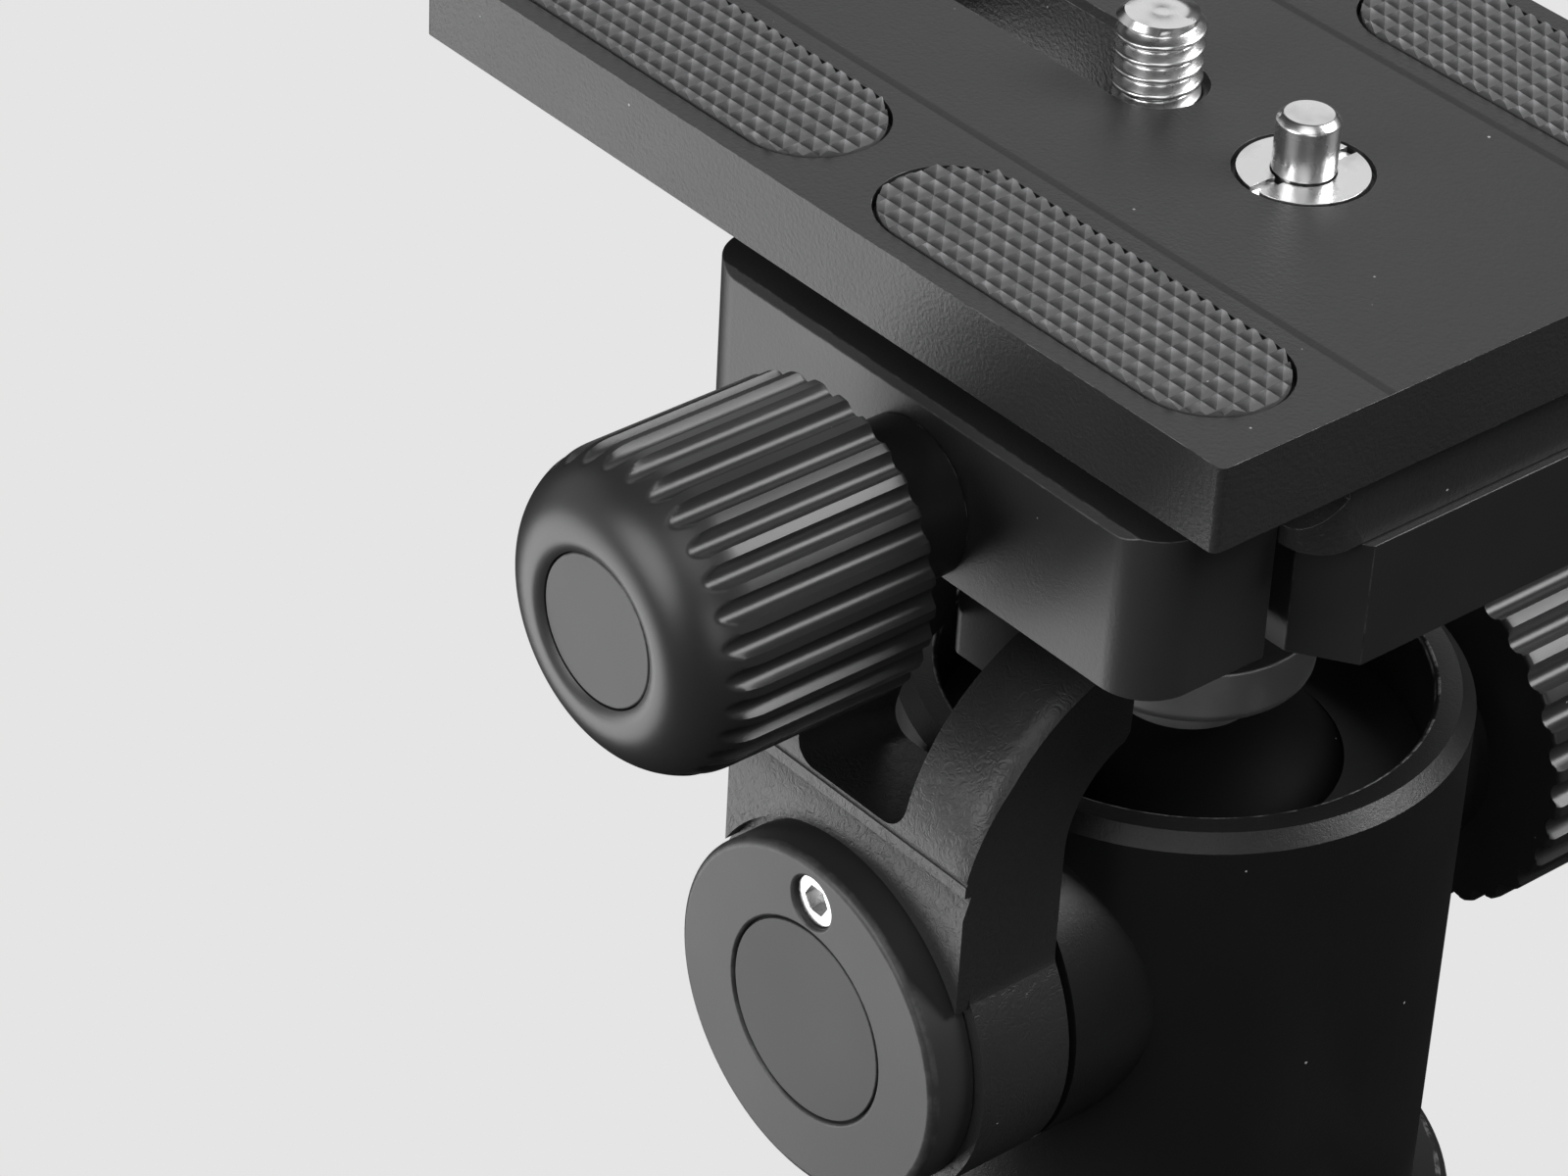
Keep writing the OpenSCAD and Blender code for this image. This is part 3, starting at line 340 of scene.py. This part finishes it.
def plain_finish(name, colour):
    """Moulded plastic with a fine tooth and a slightly uneven tone."""
    material, tree, shader = start_material(name, 0.0, 0.5)
    place = put(tree, "ShaderNodeTexCoord").outputs["Object"]
    cloud = put(tree, "ShaderNodeTexNoise", {"Vector": place, "Scale": 200.0, "Detail": 3.0}).outputs[0]
    low = tuple(c * 0.9 for c in colour)
    tree.links.new(blend_colour(tree, cloud, (*low, 1), (*colour, 1)), shader.inputs["Base Color"])
    tree.links.new(calc(tree, "ADD", PLASTIC_ROUGH, calc(tree, "MULTIPLY", cloud, 0.1)),
                   shader.inputs["Roughness"])
    tooth = use(tree, GRAIN, Size=PLASTIC_GRAIN)["Height"]
    finish_surface(tree, shader, calc(tree, "MULTIPLY", tooth, PLASTIC_GRAIN_HEIGHT))
    return material


FINISHES = {
    "plate_black": black_finish("blasted black plate", 0.027, 0.42, grain=(0.34, 0.06), wear_and_sheen_amount=0.55, dust=0.05),
    "clamp_black": black_finish("satin black clamp", 0.022, 0.40, grain=(0.2, 0.008), wear_and_sheen_amount=0.12),
    "jaw_black": black_finish("satin black jaw", 0.028, 0.42, grain=(0.25, 0.02), wear_and_sheen_amount=0.1),
    "neck_black": black_finish("satin black neck", 0.024, 0.42, grain=(0.25, 0.016), wear_and_sheen_amount=0.12),
    "frame_black": black_finish("painted cast frame", 0.028, 0.40, grain=(0.25, 0.006), wrinkle=(0.8, 0.09),
                                wear_and_sheen_amount=0.25),
    # The housing's rim edge is strongly pale: partly rubbed wear, partly a painted highlight line.
    "housing_black": black_finish("painted cast housing", 0.012, 0.40, grain=(0.25, 0.012),
                                  wrinkle=(0.5, 0.03), wear_and_sheen_amount=0.8, level=0.4),
    "base_black": black_finish("satin black base", 0.020, 0.40, grain=(0.2, 0.006)),
    "cap_black": black_finish("satin black cap", 0.034, 0.45, grain=(0.18, 0.006), wear_and_sheen_amount=0.08, dust=0.02),
    "badge_black": black_finish("flat black disc", 0.032, 0.5, grain=(0.15, 0.005), wear_and_sheen_amount=0.1, dust=0.02),
    "knob_black": black_finish("satin black knob", 0.026, 0.36, grain=(0.15, 0.004), wear_and_sheen_amount=0.2, dust=0.05),
    "knob_disc_black": black_finish("flat grey disc", 0.050, 0.5, grain=(0.15, 0.005), wear_and_sheen_amount=0.15, dust=0.02),
    "collar_black": black_finish("smooth black collar", 0.016, 0.34, grain=(0.15, 0.003), dust=0.04),
    # The ball is black, and its tone is set darker still as painted shade for the well it sits in.
    "ball_black": black_finish("black ball darkened with painted shade", 0.006, 0.6, grain=(0.15, 0.003), wear_and_sheen_amount=0.0, level=0.08),
    "stem_satin": bright_finish("pale satin stem", 0.75, 0.5),
    "seat_black": plain_finish("black acetal", (0.03, 0.03, 0.032)),
    "cup_white": plain_finish("natural acetal", (0.78, 0.77, 0.73)),
    "washer_white": plain_finish("slippery white plastic", (0.80, 0.80, 0.78)),
    "pad_rubber": rubber_finish("grip rubber", 0.1),
    "ring_rubber": rubber_finish("smooth rubber", 0.035),
    "screw_steel": bright_finish("plain steel", 0.55, 0.3),
    "dark_steel": bright_finish("blackened steel", 0.11, 0.36),
    "bright_chrome": bright_finish("bright plate", 0.82, 0.27),
    "spring_steel": bright_finish("spring wire", 0.58, 0.26),
    "bronze": bright_finish("sintered bronze", 0.6, 0.42, tint=(0.95, 0.68, 0.36)),
    "brass_yellow": bright_finish("turned brass", 0.72, 0.28, tint=(1, 0.78, 0.42)),
}
SLOT_OF = {row["node"]: row["material_slot"] for row in frame["record"]["subparts"]}
BODY_OF = {node: body for body, nodes in frame["record"]["behaviour"]["bodies"].items() for node in nodes}


# The bow of the frame's arms and their slope, the well's rim, and the grooves along the plate
BOW_Y = 15.2
BOW_Z = 59
BOW_LONG = 17.1
BOW_HIGH = 16
ARM_OUT = 12.4
ARM_TAPER = 7
ARM_BEVEL = 1.2
SILL_Z = 60.7
RIM_Z = 57.85
RIM_IN = 18.2
# Width of the rim's inner bevel that carries the pale edge mark of wear and painted highlight.
RIM_WEAR_AND_SHEEN_WIDTH = 0.12
GROOVE_Y = 15
GROOVE_HALF = 0.35
GROOVE_DEPTH = 0.3

# How near, in millimetres, a point counts as on a surface, and how near 1 a point counts as on the bow
NEAR = 0.001
ON_ARM = 0.01
ON_BOW = 0.08


# Making pieces

def add_piece(name, bm, node, sharp=35):
    """A piece from bm that stands for a node, in that node's finish and on its body."""
    mesh = bpy.data.meshes.new(name)
    bm.to_mesh(mesh)
    bm.free()
    mesh.shade_smooth()
    mesh.set_sharp_from_angle(angle=radians(sharp))
    piece = bpy.data.objects.new(name, mesh)
    scene.collection.objects.link(piece)
    mesh.materials.append(FINISHES[SLOT_OF[node]])
    even = piece.modifiers.new("even normals", "WEIGHTED_NORMAL")
    even.keep_sharp = True
    even.weight = 60
    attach(piece, BODY_OF[node])
    return piece


def merged_copy(node):
    """A node's mesh as a bmesh in millimetres, with its triangles joined and its flat faces made whole."""
    bm = bmesh.new()
    bm.from_mesh(frame["nodes"][node].data)
    bm.transform(Matrix.Scale(1000, 4))
    bmesh.ops.remove_doubles(bm, verts=bm.verts, dist=0.002)
    bmesh.ops.dissolve_limit(bm, angle_limit=radians(0.4), verts=bm.verts, edges=bm.edges,
                             use_dissolve_boundaries=False)
    return bm


def soften(bm, width, segments=2, angle=28, keep=None, wear_and_sheen=1.0):
    """Bevels the edges that are sharper than angle, where keep says so, and marks the new faces for the pale
    edge mask, which is partly rubbed wear and partly a painted highlight.
    """
    rubbed = bm.faces.layers.float.get("edge") or bm.faces.layers.float.new("edge")
    edges = [e for e in bm.edges if len(e.link_faces) == 2 and degrees(e.calc_face_angle()) > angle
             and (keep is None or keep((e.verts[0].co + e.verts[1].co) / 2))]
    made = bmesh.ops.bevel(bm, geom=edges, offset=width, offset_type="OFFSET", segments=segments, profile=0.5,
                           affect="EDGES", clamp_overlap=True, material=-1, loop_slide=True)
    for face in made["faces"]:
        face[rubbed] = wear_and_sheen


def slope_arm_edges(bm):
    """Slopes the long outer edges of the frame's arms, more towards the top."""
    for side in (-1, 1):
        bmesh.ops.bisect_plane(bm, geom=bm.verts[:] + bm.edges[:] + bm.faces[:],
                               plane_co=(side * (ARM_OUT - ARM_BEVEL), 0, 0), plane_no=(1, 0, 0))
    for vert in bm.verts:
        x, y, z = vert.co
        bow = ((y + BOW_Y) / BOW_LONG) ** 2 + ((z - BOW_Z) / BOW_HIGH) ** 2
        if abs(abs(x) - ARM_OUT) < ON_ARM and abs(bow - 1) < ON_BOW and z > SILL_Z:
            inward = Vector((0, -BOW_Y - y, BOW_Z - z)).normalized()
            vert.co += inward * ARM_BEVEL * min((z - SILL_Z) / ARM_TAPER, 1)


def rim_edge(place):
    """Whether a place lies on the inner edge of the well's rim."""
    x, y, z = place
    return z > RIM_Z - 0.5 and hypot(x, y) < RIM_IN + 0.2


def cut_groove(bm, y):
    """A shallow V along the plate's upper face, at y."""
    for place in (y - GROOVE_HALF, y, y + GROOVE_HALF):
        bmesh.ops.bisect_plane(bm, geom=bm.verts[:] + bm.edges[:] + bm.faces[:], plane_co=(0, place, 0),
                               plane_no=(0, 1, 0))
    for vert in bm.verts:
        if abs(vert.co.y - y) < NEAR and vert.co.z > PLATE_TOP - NEAR:
            vert.co.z -= GROOVE_DEPTH


def softened_piece(name, node, width, segments, angle=28):
    """A node's copy with soft edges, in place of the node."""
    bm = merged_copy(node)
    if node == "tilt_frame":
        slope_arm_edges(bm)
    if node == "housing":
        # The rim's inner edge gets the pale edge mark, partly rubbed wear and partly a painted highlight
        # line; the other bevels don't.
        soften(bm, RIM_WEAR_AND_SHEEN_WIDTH, 2, angle, rim_edge)
        soften(bm, width, segments, angle, wear_and_sheen=0.0)
    else:
        soften(bm, width, segments, angle)
    if node == "qr_plate":
        for side in (-1, 1):
            cut_groove(bm, HEAD_BACK + side * GROOVE_Y)
    bm.transform(Matrix.Scale(MM, 4))
    piece = add_piece(name, bm, node)
    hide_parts(node)


def pressed_spring():
    """The pin's spring, as a piece with its own copy of the mesh."""
    bm = merged_copy("pin_spring")
    bm.transform(Matrix.Scale(MM, 4))
    piece = add_piece("pin_coil", bm, "pin_spring")
    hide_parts("pin_spring")
    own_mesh(piece)


def turned(points, steps):
    """A bmesh turned round Z from points of (radius, height) in millimetres."""
    bm = bmesh.new()
    verts = [bm.verts.new((r, 0, z)) for r, z in points]
    edges = [bm.edges.new(pair) for pair in zip(verts, verts[1:])]
    bmesh.ops.spin(bm, geom=verts + edges, axis=(0, 0, 1), cent=(0, 0, 0), angle=2 * pi, steps=steps,
                   use_merge=True)
    bmesh.ops.remove_doubles(bm, verts=bm.verts, dist=0.0005)
    bmesh.ops.recalc_face_normals(bm, faces=bm.faces)
    return bm


def between(start, end, count):
    """Count even steps after start, up to end."""
    return [start + (end - start) * (i + 1) / count for i in range(count)]


BACK_ROUND = 0.5
BACK_MARGIN = 0.6
SEAT_MARGIN = 1
SEAT_BEVEL = 0.6
SEAT_BEVEL_L = 0.35
SEAT_DEPTH = 1.5
STEPS_PER_FLUTE = 14
SIDE_STEPS = 12
DOME_STEPS = 40


def fluted_knob(name, node, place, radius, length, dome, flutes, seat_r, hole_r, hole_depth, groove):
    """A fluted knob turned round Z: grooves that run out in a dome, and a bevelled seat for a disc."""
    dome_r, dome_l = dome
    groove_r, groove_out = groove
    side_top = length - dome_l
    points = [(hole_r, hole_depth), (hole_r, 0.0), (radius - BACK_ROUND, 0.0)]
    points += [(radius - BACK_ROUND + BACK_ROUND * sin(radians(a)), BACK_ROUND - BACK_ROUND * cos(radians(a)))
               for a in (30, 60, 90)]
    points += [(radius, z) for z in between(BACK_ROUND, side_top, SIDE_STEPS)]
    points += [(radius - dome_r + dome_r * cos(t), side_top + dome_l * sin(t))
               for t in between(0, pi / 2, DOME_STEPS)]
    points += [(seat_r + SEAT_BEVEL, length), (seat_r, length - SEAT_BEVEL_L), (seat_r, length - SEAT_DEPTH),
               (0, length - SEAT_DEPTH)]
    bm = turned(points, flutes * STEPS_PER_FLUTE)
    pitch = 2 * pi / flutes
    for vert in bm.verts:
        reach = hypot(vert.co.x, vert.co.y)
        if reach < seat_r + SEAT_MARGIN or vert.co.z < 0.01 and reach < radius - BACK_MARGIN:
            continue
        turn = atan2(vert.co.y, vert.co.x) % pitch - pitch / 2
        side = turn * radius
        room = groove_r ** 2 - side ** 2
        if room <= 0:
            continue
        floor = radius + groove_out - sqrt(room)
        if floor < reach:
            vert.co.x *= floor / reach
            vert.co.y *= floor / reach
    bm.transform(Matrix.Scale(MM, 4) @ place)
    bmesh.ops.recalc_face_normals(bm, faces=bm.faces)
    piece = add_piece(name, bm, node, sharp=40)
    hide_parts(node)


def along(axis, distance, height):
    """The place of a thing turned round Z that looks along an axis, its back that far out, at a height."""
    turn = Vector((0, 0, 1)).rotation_difference(Vector(axis)).to_matrix().to_4x4()
    return Matrix.Translation(Vector(axis) * distance + Vector((0, 0, height))) @ turn


# Camera screw

PITCH = 1.27
THREAD_DEPTH = 0.74
THREAD_SLOPE = 1.45
THREAD_FLAT = 0.18
SHANK_MARGIN = 0.6
SHANK_BELOW = 1.6
SHANK_STEPS = 96
SHANK_LEVELS = 100
CROWN_BEVEL = 0.55
DIMPLE_R = 1.0
DIMPLE_FLOOR_R = 0.7
DIMPLE_FLOOR = 0.12
DIMPLE_DEPTH = 0.22


def cut_thread(bm):
    """Sinks a thread into the turned shank of bm."""
    for vert in bm.verts:
        reach = hypot(vert.co.x, vert.co.y)
        if reach < SCREW_R - SHANK_MARGIN:
            continue
        phase = (vert.co.z / PITCH - atan2(vert.co.y, vert.co.x) / (2 * pi)) % 1
        rise = min(1.0, max(0.0, (1 - abs(2 * phase - 1)) * THREAD_SLOPE - THREAD_FLAT))
        floor = SCREW_R - THREAD_DEPTH * (1 - rise)
        if floor < reach:
            vert.co.x *= floor / reach
            vert.co.y *= floor / reach


def camera_screw():
    """The screw that holds a camera: the solid's head and neck, and a shank with its real thread."""
    low = PLATE_TOP - SHANK_BELOW
    points = [(0, low), (SCREW_R - THREAD_DEPTH, low)]
    points += [(SCREW_R, z) for z in between(low, SCREW_TOP - CROWN_BEVEL, SHANK_LEVELS)]
    points += [(SCREW_R - CROWN_BEVEL, SCREW_TOP), (DIMPLE_R, SCREW_TOP),
               (DIMPLE_FLOOR_R, SCREW_TOP - DIMPLE_FLOOR), (0, SCREW_TOP - DIMPLE_DEPTH)]
    shank = turned(points, SHANK_STEPS)
    cut_thread(shank)
    shank.transform(Matrix.Translation((SCREW_X, HEAD_BACK, 0)))
    threaded = bpy.data.meshes.new("threaded shank")
    shank.to_mesh(threaded)
    shank.free()
    bm = merged_copy("camera_screw")
    bmesh.ops.bisect_plane(bm, geom=bm.verts[:] + bm.edges[:] + bm.faces[:], plane_co=(0, 0, low),
                           plane_no=(0, 0, 1), clear_outer=True)
    bmesh.ops.holes_fill(bm, edges=[e for e in bm.edges if e.is_boundary])
    soften(bm, 0.15)
    bm.from_mesh(threaded)
    bm.transform(Matrix.Scale(MM, 4))
    piece = add_piece("screw_thread", bm, "camera_screw", sharp=50)
    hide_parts("camera_screw")


camera_screw()


# Rubber pads

END_STEPS = 7
PAD_SINK = 0.05


def rubber_pad(name, x, y):
    """A rubber pad with round ends and a pyramid grip."""
    columns = 2 * int(PAD_L / KNURL / 2 + 1)
    rows = 2 * int(PAD_W / KNURL / 2 + 1)
    bm = bmesh.new()
    bmesh.ops.create_grid(bm, x_segments=columns, y_segments=rows, size=1)
    bm.transform(Matrix.Diagonal((columns * KNURL / 2, rows * KNURL / 2, 1, 1)))
    bmesh.ops.poke(bm, faces=bm.faces[:], offset=KNURL_RISE)
    straight = (PAD_L - PAD_W) / 2
    for end in (-1, 1):
        for i in range(-END_STEPS, END_STEPS + 1):
            turn = radians(90 * i / END_STEPS)
            way = Vector((end * cos(turn), sin(turn), 0))
            edge = Vector((end * straight, 0, 0)) + way * PAD_W / 2
            bmesh.ops.bisect_plane(bm, geom=bm.verts[:] + bm.edges[:] + bm.faces[:], plane_co=edge,
                                   plane_no=way, clear_outer=True)
    rim = [e for e in bm.edges if e.is_boundary]
    made = bmesh.ops.extrude_edge_only(bm, edges=rim)["geom"]
    for vert in (g for g in made if isinstance(g, bmesh.types.BMVert)):
        vert.co.z = -PAD_DEPTH
    bmesh.ops.holes_fill(bm, edges=[e for e in bm.edges if e.is_boundary])
    bmesh.ops.recalc_face_normals(bm, faces=bm.faces)
    bm.transform(Matrix.Scale(MM, 4) @ Matrix.Translation((x, y, PLATE_TOP - PAD_SINK)))
    return add_piece(name, bm, "plate_pads", sharp=12)


for i in (-1, 1):
    for j in (-1, 1):
        pad = rubber_pad(f"grip_pad_{i}{j}", PLATE_X + i * PAD_X, HEAD_BACK + j * PAD_Y)
        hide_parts("plate_pads")

# Knobs

fluted_knob("clamp_knob_turned", "clamp_knob", along((0, -1, 0), KNOB_BACK, KNOB_Z), radius=11.4, length=19.6,
            dome=(4.9, 5.4), flutes=30, seat_r=5.45, hole_r=3.63, hole_depth=10, groove=(0.8, 0.0))
fluted_knob("lock_knob_turned", "lock_knob", along((0, 1, 0), LOCK_BACK, TILT_Z), radius=15, length=17,
            dome=(4.6, 4.6), flutes=30, seat_r=6.85, hole_r=4.03, hole_depth=10, groove=(1.0, 0.1))
fluted_knob("pan_knob_turned", "pan_knob", along((1, 0, 0), PAN_BACK, PAN_Z), radius=8, length=12,
            dome=(2.6, 2.8), flutes=20, seat_r=3.7, hole_r=2.53, hole_depth=6, groove=(0.8, 0.05))

# Pieces with softened edges: name, node, width and steps of the bevel

SOFT_PIECES = (
    ("camera_plate", "qr_plate", 0.32, 3),
    ("pin_flange", "pin_bush", 0.08, 2),
    ("anti_twist_pin", "video_pin", 0.1, 2),
    ("clamp_block", "clamp_body", 0.4, 3),
    ("front_jaw", "clamp_jaw", 0.5, 4),
    ("neck_block", "head_neck", 0.35, 3),
    ("swing_frame", "tilt_frame", 0.15, 2),
    ("ball_housing", "housing", 0.15, 2),
    ("base_disc", "pan_base", 0.25, 2),
    ("hinge_cap", "pivot_cap", 0.25, 3),
    ("cap_disc", "cap_badge", 0.1, 2),
    ("cap_set_screw", "cap_screw", 0.1, 2),
    ("jaw_collar", "knob_collar", 0.15, 2),
    ("knob_end_disc", "knob_disc", 0.15, 2),
    ("lock_end_disc", "lock_knob_cap", 0.15, 2),
    ("pan_end_disc", "pan_knob_cap", 0.12, 2),
    ("stem_collar", "ball_stem", 0.2, 2),
    ("socket_insert", "base_socket", 0.3, 2),
    ("friction_ring", "foot_ring", 0.2, 2),
    ("flange_screws", "neck_screws", 0.2, 2),
)
pressed_spring()
for piece_name, node_name, bevel_width, steps in SOFT_PIECES:
    softened_piece(piece_name, node_name, bevel_width, steps)

for node_name, solid in frame["nodes"].items():
    solid.data.materials.clear()
    solid.data.materials.append(FINISHES[SLOT_OF[node_name]])


# Floor and light

BACKGROUND = 0.783
FLOOR_R = 6


def make_floor():
    """A plain pale floor."""
    bm = bmesh.new()
    bmesh.ops.create_circle(bm, cap_ends=True, segments=96, radius=FLOOR_R)
    mesh = bpy.data.meshes.new("floor")
    bm.to_mesh(mesh)
    bm.free()
    floor = bpy.data.objects.new("floor", mesh)
    scene.collection.objects.link(floor)
    material, tree, shader = start_material("pale floor", 0.0, 0.0)
    shader.inputs["Base Color"].default_value = (0, 0, 0, 1)
    shader.inputs["Roughness"].default_value = 1.0
    shader.inputs["Emission Color"].default_value = (BACKGROUND, BACKGROUND, BACKGROUND, 1)
    shader.inputs["Emission Strength"].default_value = 1.0
    mesh.materials.append(material)
    floor.visible_glossy = False
    floor.visible_diffuse = False
    floor.visible_shadow = False


AIM = Vector((0.0, -0.008, 0.075))

LAMP_DISTANCE = 0.7
SURROUND = 0.01

# Soft boxes: name, direction from the object, width in metres and power in watts
SOFT_BOXES = (
    ("low_left", (-0.62, -0.55, -0.45), 0.5, 2.25),
    ("left", (-0.85, -0.45, 0.15), 0.5, 0.36),
    ("front", (-0.1, -0.9, 0.3), 0.5, 3.0),
    ("back_left", (-0.62, 0.55, 0.57), 0.6, 0.72),
    ("high_right", (0.44, 0.61, 0.66), 0.4, 4.5),
    ("high_front", (0.37, -0.43, 0.8), 0.5, 1.1),
    ("right", (0.95, 0.1, 0.25), 0.4, 0.1),
    ("side_front", (0.8, -0.52, 0.2), 0.3, 0.5),
)


def light_scene():
    """Soft boxes and an even, pale surround."""
    for name, way, width, power in SOFT_BOXES:
        data = bpy.data.lights.new(name, "AREA")
        data.shape = "DISK"
        data.size = width
        data.energy = power
        lamp = bpy.data.objects.new(name, data)
        lamp.visible_camera = False
        way = Vector(way).normalized()
        turn = way.to_track_quat("Z", "Y").to_matrix().to_4x4()
        lamp.matrix_world = Matrix.Translation(AIM + way * LAMP_DISTANCE) @ turn
        scene.collection.objects.link(lamp)
    world = bpy.data.worlds.new("surround")
    scene.world = world
    world.use_nodes = True
    tree = world.node_tree
    tree.nodes.clear()
    seen = put(tree, "ShaderNodeLightPath").outputs["Is Camera Ray"]
    pale = put(tree, "ShaderNodeBackground", {"Color": (1, 1, 1, 1), "Strength": BACKGROUND})
    dim = put(tree, "ShaderNodeBackground", {"Color": (1, 1, 1, 1), "Strength": SURROUND})
    mix = put(tree, "ShaderNodeMixShader", {0: seen, 1: dim.outputs[0], 2: pale.outputs[0]})
    out = tree.nodes.new("ShaderNodeOutputWorld")
    tree.links.new(mix.outputs[0], out.inputs[0])


make_floor()
light_scene()
scene.view_settings.view_transform = "Standard"
